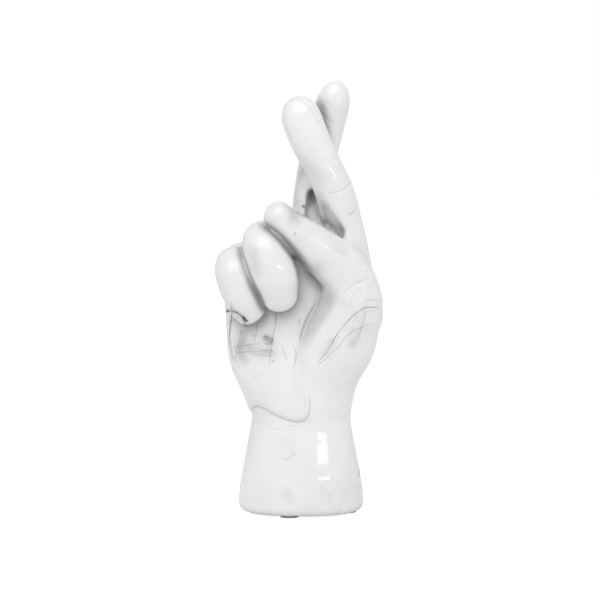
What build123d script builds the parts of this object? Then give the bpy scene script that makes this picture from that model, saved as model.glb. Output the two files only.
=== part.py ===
"""Ceramic hand sculpture: a life-size right hand with crossed fingers on a flared wrist.

Millimetres, +Z up. The origin is the middle of the foot on the surface it stands on.
The palm faces -Y, the thumb side is +X. The body is a thin cast shell, parted at the
wrist crease. The thumb with its ball and the four fingers are solid members that are
luted on, each cut to the surface that it is stuck to. Four soft pads carry the foot.
"""

import os
from math import cos, pi, radians, sin

from build123d import *

os.makedirs("parts", exist_ok=True)

# Foot and wrist
base_width = 70.0
base_depth = 60.0
foot_edge_radius = 4.0
foot_floor = 5.0
pour_bore = 20.0
wrist_width = 55.4
wrist_depth = 44.0
wrist_height = 55.0
wall = 4.5

# The wrist crease is a seam that falls towards the thumb side
seam_height = 57.0
seam_fall = 11.0

# Pads under the foot
pad_diameter = 10.0
pad_thickness = 1.2
foot_top = pad_thickness + foot_edge_radius
pad_inset = 4.5
pad_turn = -14.0
pad_names = ["foot_pad_front", "foot_pad_right", "foot_pad_back", "foot_pad_left"]

# Palm, from the wrist to the roots of the fingers
palm_length = 98.0
palm_left_reach = 44.0
palm_right_reach = 37.5
palm_front_reach = 6.0
palm_back_reach = 24.0
palm_top_round = 6.0
palm_top_lean = 9.0

# Crossed fingers: length from the buried root to the tip, section at mid length
index_length = 100.2
index_width = 20.8
index_depth = 18.0
index_tip_round = 13.0
middle_length = 108.4
middle_width = 20.0
middle_depth = 18.0
middle_tip_round = 15.8

# Folded fingers: height from the fingertip to the top of the bend, how far the bend comes
# forward from the root, section at its widest
ring_height = 51.7
ring_reach = 35.3
ring_width = 26.8
ring_depth = 18.8
ring_tip_round = 8.5
little_height = 41.7
little_reach = 30.2
little_width = 20.8
little_depth = 17.6
little_tip_round = 7.0

# Thumb: its ball rises from the wrist, its free end reaches back over the palm
ball_height = 68.0
ball_width = 42.4
ball_depth = 33.0
thumb_reach = 50.0
thumb_rise = 47.8
thumb_width = 22.2
thumb_depth = 19.0
thumb_tip_round = 7.5

# Sections are full ovals: 2 is an ellipse, more is squarer
body_fullness = 2.35
digit_fullness = 2.0
section_points = 12
body_pitch = 8.0
digit_pitch = 4.0
round_angles = [30, 55, 75]
foot_angles = [90, 68, 45, 22]
overrun = 10.0

# Flare of the foot: share of the height up to the wrist, share of the flare
base_flare_shares = [
    (0.0, 1.02),
    (0.18, 0.98),
    (0.37, 0.77),
    (0.56, 0.5),
    (0.73, 0.27),
    (0.88, 0.08),
    (1.0, 0.0),
]

# Palm: share of the length, then how far each side has gone from the wrist to its
# reach (left, right, front, back), and the share of the lean of the top
palm_row_shares = [
    (0.06, 0.1, 0.01, 0.02, 0.0, 0.0),
    (0.13, 0.26, 0.06, 0.11, 0.0, 0.0),
    (0.22, 0.46, 0.18, 0.26, 0.0, 0.0),
    (0.34, 0.7, 0.37, 0.45, 0.15, 0.0),
    (0.46, 0.81, 0.56, 0.64, 0.4, 0.05),
    (0.59, 0.91, 0.75, 0.81, 0.75, 0.2),
    (0.72, 0.99, 0.95, 0.95, 1.0, 0.45),
    (0.85, 0.96, 0.99, 1.03, 0.8, 0.75),
    (0.94, 0.79, 0.74, 1.17, 0.0, 0.95),
    (1.0, 0.45, 0.24, 1.37, -1.6, 1.0),
]

# Crossed fingers: place from the root as shares of the length (x, y, z), lean in
# degrees, then the section's width and depth as shares
index_root_shares = (0.77, 0.375, 0.785)
index_row_shares = [
    (0.0, 0.0, 0.0, 8, 1.1, 1.22),
    (-0.03, -0.015, 0.18, 12, 1.08, 1.17),
    (-0.063, -0.05, 0.31, 16, 1.08, 1.11),
    (-0.106, -0.08, 0.475, 20, 1.05, 1.08),
    (-0.171, -0.095, 0.625, 24, 0.98, 1.02),
    (-0.238, -0.09, 0.765, 23, 1.03, 0.98),
    (-0.28, -0.082, 0.869, 21, 1.03, 0.93),
]
middle_root_shares = (0.09, 0.42, 0.785)
middle_row_shares = [
    (0.0, 0.0, 0.0, -2, 1.15, 1.22),
    (0.006, 0.01, 0.185, -3, 1.1, 1.17),
    (0.02, 0.023, 0.36, -6, 1.04, 1.11),
    (0.038, 0.046, 0.5, -8, 1.02, 1.04),
    (0.057, 0.067, 0.625, -11, 0.99, 1.0),
    (0.088, 0.07, 0.758, -14, 0.96, 0.98),
    (0.118, 0.046, 0.86, -15, 0.9, 0.91),
]

# Folded fingers: place from the root as shares of the width, the reach and the height,
# then the section's width and depth as shares, from the root round to the fingertip
ring_root_shares = (-0.273, 0.54, 0.806)
ring_row_shares = [
    (0.0, 0.0, 0.0, 0.82, 0.96),
    (-0.093, -0.2, 0.27, 0.84, 0.96),
    (-0.28, -0.54, 0.4, 0.84, 0.98),
    (-0.347, -0.82, 0.365, 0.85, 1.0),
    (-0.3, -0.98, 0.21, 0.93, 1.02),
    (-0.18, -1.0, 0.01, 1.0, 0.99),
    (-0.08, -0.92, -0.22, 0.9, 0.95),
]
little_root_shares = (-0.693, 0.5, 0.663)
little_row_shares = [
    (0.0, 0.0, 0.0, 0.96, 0.91),
    (-0.07, -0.2, 0.3, 0.96, 0.91),
    (-0.25, -0.53, 0.49, 0.96, 0.93),
    (-0.34, -0.81, 0.485, 0.96, 0.98),
    (-0.3, -0.985, 0.32, 1.0, 1.0),
    (-0.165, -1.0, 0.095, 0.95, 1.0),
    (0.02, -0.93, -0.11, 0.88, 0.95),
]

# Ball of the thumb: place from the wrist as shares of its width, depth and height,
# lean, and section shares
ball_row_shares = [
    (0.28, -0.15, 0.1, -8, 0.62, 0.72),
    (0.35, -0.21, 0.38, -13, 0.9, 0.94),
    (0.49, -0.22, 0.63, -15, 1.0, 1.0),
    (0.69, -0.31, 0.949, -12, 0.79, 0.86),
]
# Free end of the thumb: place from the knuckle as shares of the reach, the ball's depth
# and the rise, lean, and section shares
thumb_row_shares = [
    (-0.04, -0.04, 0.22, 17, 1.35, 1.42),
    (-0.146, -0.11, 0.391, 36, 1.19, 1.28),
    (-0.33, -0.206, 0.6, 48, 1.05, 1.16),
    (-0.486, -0.267, 0.722, 52, 0.96, 1.09),
    (-0.65, -0.32, 0.864, 56, 0.85, 1.0),
    (-0.844, -0.358, 0.981, 62, 0.757, 0.884),
]


def leaning_plane(x, y, z, lean):
    """A level plane through a place, leaned about Y."""
    return Plane(
        origin=(x, y, z),
        x_dir=(cos(radians(lean)), 0, sin(radians(lean))),
        z_dir=(-sin(radians(lean)), 0, cos(radians(lean))),
    )


def square_plane(row, along):
    """The plane through a row's place that is square to a direction, with X kept across."""
    along = along.normalized()
    return Plane(origin=row[:3], x_dir=Vector(1, 0, 0) - along * along.X, z_dir=along)


def oval(plane, half_width, half_depth, fullness):
    """A closed oval on a plane."""
    points = []
    for number in range(section_points):
        angle = 2 * pi * number / section_points
        across = half_width * abs(cos(angle)) ** (2 / fullness)
        deep = half_depth * abs(sin(angle)) ** (2 / fullness)
        if cos(angle) < 0:
            across = -across
        if sin(angle) < 0:
            deep = -deep
        points.append(plane.from_local_coords(Vector(across, deep, 0)))
    return Wire([Edge.make_spline(points, periodic=True)])


def row_oval(row, fullness):
    """The oval of a row: its place, its lean about Y, half width and half depth."""
    return oval(leaning_plane(*row[:4]), *row[4:], fullness)


def evenly(rows, pitch):
    """Rows on smooth curves through the given rows, about a pitch apart."""
    stations = [0.0]
    for row, following in zip(rows, rows[1:]):
        step = Vector(*following[:3]) - Vector(*row[:3])
        stations.append(stations[-1] + step.length)
    slopes = []
    for number in range(len(rows)):
        before = max(number - 1, 0)
        after = min(number + 1, len(rows) - 1)
        run = stations[after] - stations[before]
        slopes.append([(b - a) / run for a, b in zip(rows[before], rows[after])])
    count = round(stations[-1] / pitch) + 1
    spread = []
    span = 0
    for number in range(count):
        station = stations[-1] * number / (count - 1)
        while span < len(rows) - 2 and station > stations[span + 1]:
            span += 1
        run = stations[span + 1] - stations[span]
        part = (station - stations[span]) / run
        ease = part * part * (3 - 2 * part)
        leave = part * (1 - part) ** 2 * run
        arrive = part * part * (part - 1) * run
        row = []
        for a, b, c, d in zip(rows[span], rows[span + 1], slopes[span], slopes[span + 1]):
            row.append(a + ease * (b - a) + leave * c + arrive * d)
        spread.append(row)
    return spread


def round_end(plane, half_width, half_depth, reach, fullness):
    """Ovals that round off a form beyond its last plane, then the end point."""
    outline = []
    for angle in round_angles:
        share = cos(radians(angle))
        outline.append(oval(
            plane.offset(reach * sin(radians(angle))), half_width * share, half_depth * share, fullness
        ))
    outline.append(Vertex(*(plane.origin + plane.z_dir * reach)))
    return outline


def row_end(row, reach, fullness):
    """The rounded end beyond a row."""
    return round_end(leaning_plane(*row[:4]), *row[4:], reach, fullness)


def body_rows(inset):
    """Rows of the body's form, drawn in by inset, from the foot's edge to the knuckles."""
    rows = []
    for height_share, flare_share in base_flare_shares:
        height = foot_top + height_share * (wrist_height - foot_top)
        half_width = wrist_width / 2 + flare_share * (base_width - wrist_width) / 2
        half_depth = wrist_depth / 2 + flare_share * (base_depth - wrist_depth) / 2
        rows.append((0, 0, height, 0, half_width - inset, half_depth - inset))
    for length_share, left, right, front, back, lean_share in palm_row_shares:
        left_edge = -wrist_width / 2 - left * (palm_left_reach - wrist_width / 2)
        right_edge = wrist_width / 2 + right * (palm_right_reach - wrist_width / 2)
        front_edge = -wrist_depth / 2 + front * (wrist_depth / 2 - palm_front_reach)
        back_edge = wrist_depth / 2 + back * (palm_back_reach - wrist_depth / 2)
        rows.append((
            (left_edge + right_edge) / 2,
            (front_edge + back_edge) / 2,
            wrist_height + length_share * palm_length,
            lean_share * palm_top_lean,
            (right_edge - left_edge) / 2 - inset,
            (back_edge - front_edge) / 2 - inset,
        ))
    return rows


def foot_form(row):
    """The rounded edge of the foot, from the flat underside up to the body's lowest row."""
    x, y, z, lean, half_width, half_depth = row
    outline = []
    for angle in foot_angles:
        drop = foot_edge_radius * sin(radians(angle))
        inset = foot_edge_radius * (1 - cos(radians(angle)))
        outline.append(row_oval((x, y, z - drop, lean, half_width - inset, half_depth - inset), body_fullness))
    return Solid.make_loft(outline + [row_oval(row, body_fullness)])


def body_form():
    """The whole outer form of foot, wrist and palm, with its rounded foot and top."""
    rows = body_rows(0)
    outline = [row_oval(row, body_fullness) for row in evenly(rows, body_pitch)]
    form = Solid.make_loft(outline + row_end(rows[-1], palm_top_round, body_fullness))
    return form + foot_form(rows[0])


def body_hollow():
    """The space inside the shell, from above the foot's floor to below the knuckles."""
    rows = evenly(body_rows(wall)[:-1], body_pitch)
    space = Solid.make_loft([row_oval(row, body_fullness) for row in rows])
    slab = Box(
        base_width,
        base_depth,
        pad_thickness + foot_floor,
        align=(Align.CENTER, Align.CENTER, Align.MIN),
    )
    return space - slab


def seam_plane():
    """The plane of the wrist crease."""
    fall = seam_fall / wrist_width
    return Plane(origin=(0, 0, seam_height), x_dir=(1, 0, -fall), z_dir=(fall, 0, 1))


def crossed_finger(root_shares, length, width, depth, tip_round, row_shares):
    """A finger as ovals along its leaning axis, rounded at the tip."""
    across, deep, up = root_shares
    root_x = across * palm_right_reach
    root_y = deep * palm_back_reach
    root_z = wrist_height + up * palm_length
    rows = []
    for across, deep, up, lean, width_share, depth_share in row_shares:
        rows.append((
            root_x + across * length,
            root_y + deep * length,
            root_z + up * length,
            lean,
            width_share * width / 2,
            depth_share * depth / 2,
        ))
    outline = [row_oval(row, digit_fullness) for row in evenly(rows, digit_pitch)]
    return Solid.make_loft(outline + row_end(rows[-1], tip_round, digit_fullness))


def folded_finger(root_shares, height, reach, width, depth, tip_round, row_shares):
    """A folded finger as ovals square to a bent path: up from the buried root, over the
    bend and down to the fingertip on the palm."""
    across, deep, up = root_shares
    root_x = across * palm_left_reach
    root_y = deep * palm_back_reach
    root_z = wrist_height + up * palm_length
    rows = []
    for across, deep, up, width_share, depth_share in row_shares:
        rows.append((
            root_x + across * width,
            root_y + deep * reach,
            root_z + up * height,
            width_share * width / 2,
            depth_share * depth / 2,
        ))
    rows = evenly(rows, digit_pitch)
    outline = []
    for number in range(len(rows)):
        before = Vector(*rows[max(number - 1, 0)][:3])
        after = Vector(*rows[min(number + 1, len(rows) - 1)][:3])
        outline.append(oval(square_plane(rows[number], after - before), *rows[number][3:], digit_fullness))
    tip = square_plane(rows[-1], after - before)
    return Solid.make_loft(outline + round_end(tip, *rows[-1][3:], tip_round, digit_fullness))


def thumb_form():
    """The ball of the thumb rising from the wrist, then the free end over the palm."""
    rows = []
    for across, deep, up, lean, width_share, depth_share in ball_row_shares:
        x = across * ball_width
        y = deep * ball_depth
        z = wrist_height + up * ball_height
        rows.append((x, y, z, lean, width_share * ball_width / 2, depth_share * ball_depth / 2))
    for across, deep, up, lean, width_share, depth_share in thumb_row_shares:
        rows.append((
            x + across * thumb_reach,
            y + deep * ball_depth,
            z + up * thumb_rise,
            lean,
            width_share * thumb_width / 2,
            depth_share * thumb_depth / 2,
        ))
    outline = [row_oval(row, digit_fullness) for row in evenly(rows, digit_pitch)]
    return Solid.make_loft(outline + row_end(rows[-1], thumb_tip_round, digit_fullness))


def foot_pads():
    """Four round pads on an oval just inside the foot's rounded edge."""
    inset = foot_edge_radius + pad_inset
    pads = []
    for number in range(len(pad_names)):
        angle = radians(pad_turn + 360 * number / len(pad_names) - 90)
        place = (
            (base_width / 2 - inset) * cos(angle),
            (base_depth / 2 - inset) * sin(angle),
            0,
        )
        pads.append(Pos(*place) * Cylinder(
            pad_diameter / 2,
            pad_thickness,
            align=(Align.CENTER, Align.CENTER, Align.MIN),
        ))
    return pads


body = body_form()
shell = body - body_hollow()
pour_hole = Cylinder(pour_bore / 2, foot_floor + 2 * overrun)
seam = seam_plane()
wrist_base = split(shell, bisect_by=seam, keep=Keep.BOTTOM) - pour_hole
palm = split(shell, bisect_by=seam, keep=Keep.TOP)

thumb = thumb_form()
index_finger = crossed_finger(
    index_root_shares, index_length, index_width, index_depth, index_tip_round, index_row_shares
)
middle_finger = crossed_finger(
    middle_root_shares, middle_length, middle_width, middle_depth, middle_tip_round, middle_row_shares
)
ring_finger = folded_finger(
    ring_root_shares, ring_height, ring_reach, ring_width, ring_depth, ring_tip_round, ring_row_shares
)
little_finger = folded_finger(
    little_root_shares, little_height, little_reach, little_width, little_depth, little_tip_round,
    little_row_shares,
)

export_step(wrist_base, "parts/wrist_base.step")
export_step(palm, "parts/palm.step")
export_step(thumb - body, "parts/thumb.step")
export_step(index_finger - body - thumb, "parts/index_finger.step")
export_step(middle_finger - body - index_finger - thumb, "parts/middle_finger.step")
export_step(ring_finger - body - thumb, "parts/ring_finger.step")
export_step(little_finger - body - ring_finger, "parts/little_finger.step")
for name, pad in zip(pad_names, foot_pads()):
    export_step(pad, f"parts/{name}.step")
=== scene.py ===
"""A glazed hand with crossed fingers, cast in slip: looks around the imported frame.

Each member of the hand is an oval carried along a path, worked out on a grid with numpy.
The members are laid into one distance field, where neighbours melt together as wet clay
does at a luted joint and stay creased where two fingers only touch. The skin of that
field is then parted along the joints, and every part gets a wall of its own.
"""

import bpy
import numpy as np
import openvdb
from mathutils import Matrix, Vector


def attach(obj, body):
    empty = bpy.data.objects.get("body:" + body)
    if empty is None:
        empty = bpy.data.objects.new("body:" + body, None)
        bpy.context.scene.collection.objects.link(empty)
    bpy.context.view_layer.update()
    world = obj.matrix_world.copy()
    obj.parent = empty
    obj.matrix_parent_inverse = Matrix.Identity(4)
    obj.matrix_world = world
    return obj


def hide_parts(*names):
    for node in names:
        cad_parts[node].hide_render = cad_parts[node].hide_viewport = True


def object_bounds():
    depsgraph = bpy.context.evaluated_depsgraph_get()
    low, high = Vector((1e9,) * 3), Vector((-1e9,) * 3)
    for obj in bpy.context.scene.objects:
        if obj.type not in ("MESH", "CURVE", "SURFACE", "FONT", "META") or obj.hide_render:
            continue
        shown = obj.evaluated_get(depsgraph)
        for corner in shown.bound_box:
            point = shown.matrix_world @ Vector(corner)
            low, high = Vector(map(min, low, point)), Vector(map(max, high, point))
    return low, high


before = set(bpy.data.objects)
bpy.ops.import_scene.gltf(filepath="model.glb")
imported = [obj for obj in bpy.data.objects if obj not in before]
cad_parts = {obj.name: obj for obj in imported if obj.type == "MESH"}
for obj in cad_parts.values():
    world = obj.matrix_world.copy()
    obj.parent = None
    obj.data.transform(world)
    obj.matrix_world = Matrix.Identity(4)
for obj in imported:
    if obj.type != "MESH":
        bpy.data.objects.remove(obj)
cad_low, cad_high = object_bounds()

# One millimetre of the model, worked out from the frame's height
model_height = 240.5
mm = (cad_high.z - cad_low.z) / model_height

# Field, in millimetres of the model
voxel = 0.7
field_reach = 12.0
field_margin = 6.0

# Walls left by the casting
wall = 3.0

# Body: height, then left, right, front and back of the section
body_fullness = 2.35
body_rows = np.array([
    (1.2, -35.0, 35.0, -30.0, 30.0),
    (10.0, -34.8, 34.8, -29.8, 29.8),
    (21.0, -33.3, 33.3, -28.2, 28.2),
    (31.0, -31.4, 31.4, -26.0, 26.0),
    (40.5, -29.7, 29.6, -24.2, 24.2),
    (48.5, -28.3, 28.2, -22.7, 22.7),
    (55.0, -27.7, 27.7, -22.0, 22.0),
    (60.9, -29.3, 27.8, -21.7, 22.0),
    (67.7, -31.9, 28.3, -20.2, 22.0),
    (76.6, -36.2, 29.5, -17.8, 22.0),
    (88.3, -39.7, 31.3, -14.8, 22.3),
    (100.0, -40.9, 33.2, -11.8, 22.8),
    (112.8, -42.5, 35.0, -9.0, 23.5),
    (125.6, -43.8, 37.0, -6.8, 24.0),
    (138.3, -43.3, 37.4, -5.5, 23.6),
    (147.1, -40.6, 35.0, -3.3, 22.0),
])
body_top_round = 6.0
body_row_count, body_around = 160, 128
foot_round, foot_steps, foot_gap = 4.0, 12, 0.5
pour_bore = 20.0

# Rows of the members: place (x, y, z), half width, half depth, from buried root to tip
index_rows = np.array([
    (28.9, 6.0, 131.9, 11.4, 11.0),
    (25.9, 4.5, 149.9, 11.2, 10.5),
    (22.6, 2.8, 163.0, 11.2, 10.0),
    (18.3, 1.0, 179.5, 10.9, 9.7),
    (11.6, -0.5, 194.5, 10.3, 9.2),
    (4.7, 0.0, 208.6, 11.1, 8.8),
    (0.5, 0.8, 219.4, 11.2, 8.4),
])
middle_rows = np.array([
    (3.4, 10.1, 131.9, 11.5, 11.0),
    (4.1, 11.2, 152.0, 11.0, 10.5),
    (5.6, 12.6, 170.9, 10.4, 10.0),
    (7.5, 15.1, 186.1, 10.2, 9.4),
    (10.2, 17.4, 199.7, 10.1, 9.0),
    (13.8, 17.7, 214.1, 10.1, 8.8),
    (17.0, 15.6, 225.3, 9.7, 8.4),
])
ring_rows = np.array([
    (-12.0, 12.0, 136.0, 11.0, 10.0),
    (-15.5, 3.0, 149.0, 11.5, 10.5),
    (-20.8, -9.5, 152.8, 11.3, 11.0),
    (-20.3, -18.0, 149.0, 11.8, 11.5),
    (-17.2, -20.6, 141.0, 12.9, 11.2),
    (-13.6, -20.4, 131.5, 12.2, 10.8),
    (-11.9, -18.4, 122.6, 9.9, 9.6),
])
little_rows = np.array([
    (-31.0, 11.0, 122.0, 10.0, 9.5),
    (-33.0, 2.0, 135.0, 10.0, 10.0),
    (-37.2, -8.5, 139.5, 10.0, 9.6),
    (-37.0, -15.4, 135.0, 10.4, 10.3),
    (-34.9, -16.5, 126.5, 9.8, 10.2),
    (-31.3, -15.8, 118.5, 9.4, 9.6),
    (-28.0, -13.8, 113.3, 8.6, 8.6),
])
thenar_rows = np.array([
    (11.9, -5.0, 61.8, 13.1, 11.9),
    (14.8, -6.9, 80.8, 19.1, 15.5),
    (20.8, -7.3, 97.8, 21.2, 16.5),
    (24.7, -8.6, 110.0, 19.6, 15.4),
    (28.0, -9.4, 122.0, 16.2, 13.2),
])
thumb_rows = np.array([
    (31.5, -8.5, 108.0, 13.0, 12.5),
    (28.6, -9.8, 120.0, 15.2, 13.4),
    (27.0, -11.0, 128.6, 15.1, 13.6),
    (23.3, -12.6, 135.4, 14.1, 13.0),
    (17.3, -14.8, 141.6, 13.3, 12.2),
    (10.6, -17.0, 147.0, 12.6, 11.5),
    (3.2, -19.0, 152.8, 11.6, 10.8),
    (-3.4, -20.6, 158.2, 10.0, 10.0),
    (-9.6, -21.6, 163.4, 8.7, 9.0),
    (-12.9, -22.0, 166.2, 8.4, 8.4),
])
limb_fullness, thumb_fullness = 2.1, 2.3
end_steps = 10

# Members: rows, the way of their width, how far the root and the tip are rounded, fullness
members = {
    "thumb": (thumb_rows, (1, 0, 0), 6.0, 7.5, thumb_fullness),
    "thenar": (thenar_rows, (1, 0, 0), 6.0, 10.0, thumb_fullness),
    "index_finger": (index_rows, (1, 0, 0), 4.0, 13.0, limb_fullness),
    "middle_finger": (middle_rows, (1, 0, 0), 4.0, 15.8, limb_fullness),
    "ring_finger": (ring_rows, (1, 0, 0.1), 5.0, 8.6, limb_fullness),
    "little_finger": (little_rows, (1, 0, 0.2), 5.0, 5.5, limb_fullness),
}

# The wrist crease falls towards the thumb side
seam_height, seam_fall = 57.0, 0.2

# Parting the skin: the least size of a value, and the least share that a cut leaves of an edge
least_value, cut_margin = 1e-4, 0.03

# Camera, in millimetres of the model, and the photograph's scale
eye_out, eye_up, eye_side, aim_up = 1350.0, 245.0, -0.6, 118.7
eye_place = np.array([eye_side, -eye_out, eye_up])
pixel = 0.556
picture_size = 600

# Raised palm: how far it rises, over what width, how far back it reaches, and the edge that
# shows in the photograph, in pixels, then round outside the hand
palm_rise, palm_edge, palm_reach = 1.3, 2.4, 2.0
palm_edge_px = np.array([
    (326, 289), (310, 312), (303, 326), (300, 340), (296.5, 355), (294, 370), (294.3, 385),
    (298, 398), (305, 407), (309, 414), (305, 419), (297, 421.4), (290.6, 420.6), (280.4, 417),
    (270, 412), (262, 407.6), (255.8, 406), (252, 411), (225, 411), (200, 380), (200, 215),
    (360, 215), (345, 270),
])

# Flats: member, a place on the flat, the way it faces, the planes where it ends with the
# way back from each, softness of its edge
flats = [
    ("index_finger", (20.6, -6.4, 163.0), (-0.64, -0.64, -0.43), (), 0.9),
    ("middle_finger", (2.8, 3.9, 175.0), (0.85, -0.5, -0.054),
     (((0, 0, 191), (0, 0, -1)), ((0, 9.5, 0), (0, -1, 0))), 1.6),
    ("thumb", (2.0, -28.5, 146.4), (-0.621, -0.461, -0.634), (), 2.4),
    ("thenar", (13.8, -9.0, 124.6), (-0.743, -0.499, 0.446), (), 2.4),
]

# Pads and webs of the hand: member, centre, radius, softness of the joint
fillers = [
    ("body", (9, 5, 149), 11.0, 8.0),
    ("body", (-6, 4, 147), 10.0, 8.0),
    ("middle_finger", (9, 13, 159), 8.0, 4.0),
    ("middle_finger", (8, 13, 168), 6.5, 4.0),
]

# Where the index finger melts further into its neighbours: place, reach, more softness
soft_places = [((25, -8, 153), 9.0, 9.0), ((4.4, 5.5, 184.5), 8.0, 6.0)]

# How softly members melt into each other. The thumb and its ball melt into the body less
# and less from the wrist up: by web_melt_drop over web_melt_run, from web_melt_start.
wrist_melt, web_melt_drop, web_melt_start, web_melt_run = 8.0, 6.4, 62.0, 34.0
thenar_melt = 6.0
finger_melts = {"little_finger": 3.0, "ring_finger": 2.0, "middle_finger": 4.0}
index_melt = 2.5

# A patch and a crease change cells within a band of millimetres about the skin and a
# margin of pixels about their own box
patch_band, patch_margin = 6.0, 6
crease_band, crease_margin = 4.0, 8

# Creases: depth and width in millimetres, how far back they reach, places in pixels
crease_lines_px = [
    (0.6, 0.8, 4.0, [(250.5, 413), (255.8, 406.3), (262, 407.8), (270, 412.3), (280.4, 417.4),
                     (290.6, 421), (297, 421.8), (305, 420), (309, 415), (309.6, 405.6), (309.6, 393)]),
    (0.2, 0.8, 4.0, [(250, 419), (256, 421), (266, 426), (278, 430), (290.6, 430.3), (300, 427)]),
    (0.12, 0.8, 4.0, [(299, 425), (307, 423.5), (320, 422)]),
    (0.25, 0.6, 4.0, [(288.6, 335), (292, 343), (295.6, 351), (296.2, 360), (294.4, 366), (292.4, 370)]),
    (0.3, 0.6, 3.0, [(343.5, 294), (346, 291), (353, 285.6), (359, 283), (363, 281.2), (368, 278.4),
                     (372, 275.8)]),
    (0.22, 0.6, 3.0, [(353, 269.6), (358, 267.4), (362, 265.4), (365.4, 263.4)]),
    (0.25, 0.6, 3.0, [(364.6, 267), (367.4, 270), (367.8, 273), (366, 274.6)]),
    (0.15, 0.6, 3.0, [(351, 279.6), (357, 277.4), (362, 275.6), (366, 274.6)]),
    (0.3, 0.6, 3.0, [(350, 245.6), (357, 252.7), (365.2, 261.4), (370.3, 267), (373.4, 272)]),
    (0.3, 0.6, 3.0, [(264, 223), (270, 230.4), (277, 238), (285, 248), (290, 254.6), (296, 262)]),
    (0.5, 1.8, 4.0, [(321.6, 200), (323.6, 208), (325.4, 216), (328, 226)]),
    (0.35, 0.6, 0.5, [(329.2, 196), (329.8, 193.4), (336.5, 192.6), (345.4, 188.6), (350, 183),
                      (352.6, 177)]),
    (0.3, 0.6, 0.5, [(298, 152), (291.4, 139), (286.9, 129), (284.3, 117.8), (285.8, 105.5),
                      (291.4, 99.3), (299.3, 98.6), (306.6, 103.6), (312.4, 111.6), (318, 120.6),
                      (326, 133.5)]),
    (0.1, 0.6, 0.5, [(329.4, 195), (331, 200), (333.4, 206), (337, 213)]),
    (0.1, 0.7, 0.5, [(298, 156), (303, 160.4), (311, 163), (317, 161)]),
    (0.12, 0.8, 20.0, [(322, 88), (324.5, 96), (329.6, 106), (336.4, 112.4), (346, 118)]),
    (0.15, 0.7, 20.0, [(317.4, 107), (326, 117.8), (334.6, 126)]),
]
# Veins in the glaze: half width in millimetres, darkness, places in pixels
vein_lines_px = [
    (0.22, 0.5, [(383, 307.8), (374, 307.2), (367.2, 307.3), (361, 310), (351, 318), (342.8, 327.2),
                 (335.6, 336.4), (330.5, 345.6), (326.4, 352.8), (321.3, 357.9), (315, 364)]),
    (0.75, 0.95, [(222, 310.8), (228, 310.6), (235, 312), (240.5, 314.6), (244.6, 318.6), (249.1, 322.6)]),
    (0.4, 0.55, [(231.3, 301), (231.6, 310), (231.2, 318), (229.6, 328.3), (230, 341), (231.6, 352.5),
                 (234, 362)]),
    (0.3, 0.3, [(257.4, 324.5), (256, 333), (253.6, 341)]),
    (0.3, 0.35, [(276.5, 310.4), (275.5, 322), (274, 332), (271.4, 347.4), (268.9, 365.3)]),
    (0.28, 0.5, [(299.6, 325), (299.2, 318)]),
    (0.24, 0.26, [(281.4, 458), (286.5, 459), (292.7, 454.9), (296.8, 453.3)]),
    (0.4, 0.5, [(357.6, 449), (358.4, 458), (359.6, 467), (359, 478)]),
    (0.3, 0.35, [(348, 214.4), (351, 213.4), (354.6, 210.6)]),
    (0.25, 0.5, [(294.6, 231.4), (294.8, 234), (293.4, 236)]),
]
fine_lines_px = [
    (0.24, 0.26, [(377, 323.4), (367.2, 325.2), (361, 327), (353, 331.3), (344.8, 338.5), (338.7, 346.6),
                  (330.5, 354.8), (322.3, 362), (315, 367)]),
    (0.3, 0.28, [(366, 300.2), (371, 299.8), (378, 300.8)]),
    (0.3, 0.22, [(366, 309), (364.2, 319), (361, 330), (357.4, 338)]),
    (0.35, 0.8, [(239.5, 313.6), (242.4, 318), (244.6, 323.2), (247, 327)]),
    (0.32, 0.2, [(231, 348), (241, 346), (251, 344.9), (266.3, 342.3)]),
    (0.32, 0.26, [(233.6, 353.6), (242, 352), (251, 351.9), (260, 350.4), (268.9, 349.6), (279, 353.8)]),
    (0.3, 0.18, [(250, 356), (262, 355), (276, 357)]),
    (0.35, 0.25, [(242, 327), (239.5, 338.5), (235.7, 353.8), (235, 364)]),
    (0.3, 0.55, [(262, 336.6), (268, 337), (272.7, 338.5), (271, 342), (267.4, 345), (264, 340)]),
    (0.3, 0.3, [(250, 336), (256, 335.6), (263, 336.6)]),
    (0.3, 0.22, [(282, 344), (284, 352), (287, 360)]),
    (0.35, 0.3, [(256, 222), (258.6, 224), (260, 228)]),
]

# Grey clouds under the glaze, and painted shade among them where the entries below say so:
# radius in millimetres, darkness, places in pixels
cloud_and_shade_lines_px = [
    (3.0, 0.4, [(236, 322), (242, 334), (240, 348), (243, 360)]),
    (3.5, 0.24, [(243, 345), (256, 350), (270, 352)]),
    (2.2, 0.5, [(266, 338), (270, 342)]),
    (2.4, 0.2, [(355, 331), (357, 337), (352, 344)]),
    (3.0, 0.1, [(365, 310), (360, 325)]),
    (3.2, 0.13, [(286.4, 494), (288.8, 497)]),
    (5.0, 0.05, [(290, 440), (286, 462)]),
    # Painted shade on the flank of the thumb's ball
    (4.0, 0.14, [(326, 298), (314, 318), (306, 338)]),
    # Painted shade at the base of the middle finger
    (4.5, 0.26, [(299, 168), (297, 190), (294, 218)]),
    # Painted shade in the palm's cavity under the thumb
    (4.0, 0.2, [(318, 268), (312, 276), (322, 286)]),
    # Painted shade where the index finger crosses the middle finger
    (4.0, 0.1, [(304, 164), (313, 170), (322, 178)]),
    (2.4, 0.2, [(325, 352), (332, 342)]),
    # Painted shade in the dark wedge on the index finger
    (2.2, 0.34, [(324.5, 208), (327, 217), (330, 228)]),
    # Painted shade in the gap between the index and middle fingers
    (2.6, 0.16, [(316, 196), (321, 206), (326, 214)]),
    (3.4, 0.14, [(252, 250), (258, 270)]),
    (4.0, 0.12, [(330, 240), (342, 252)]),
]

# Dark specks in the glaze: radius, darkness, place
specks_px = [
    (0.7, 0.75, (303.6, 206.5)), (0.3, 0.35, (298.2, 211.6)), (0.2, 0.45, (273.3, 361.2)),
    (0.1, 0.22, (305, 441)), (0.1, 0.25, (281.4, 473.8)), (0.1, 0.2, (313.2, 483.8)),
]

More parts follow.
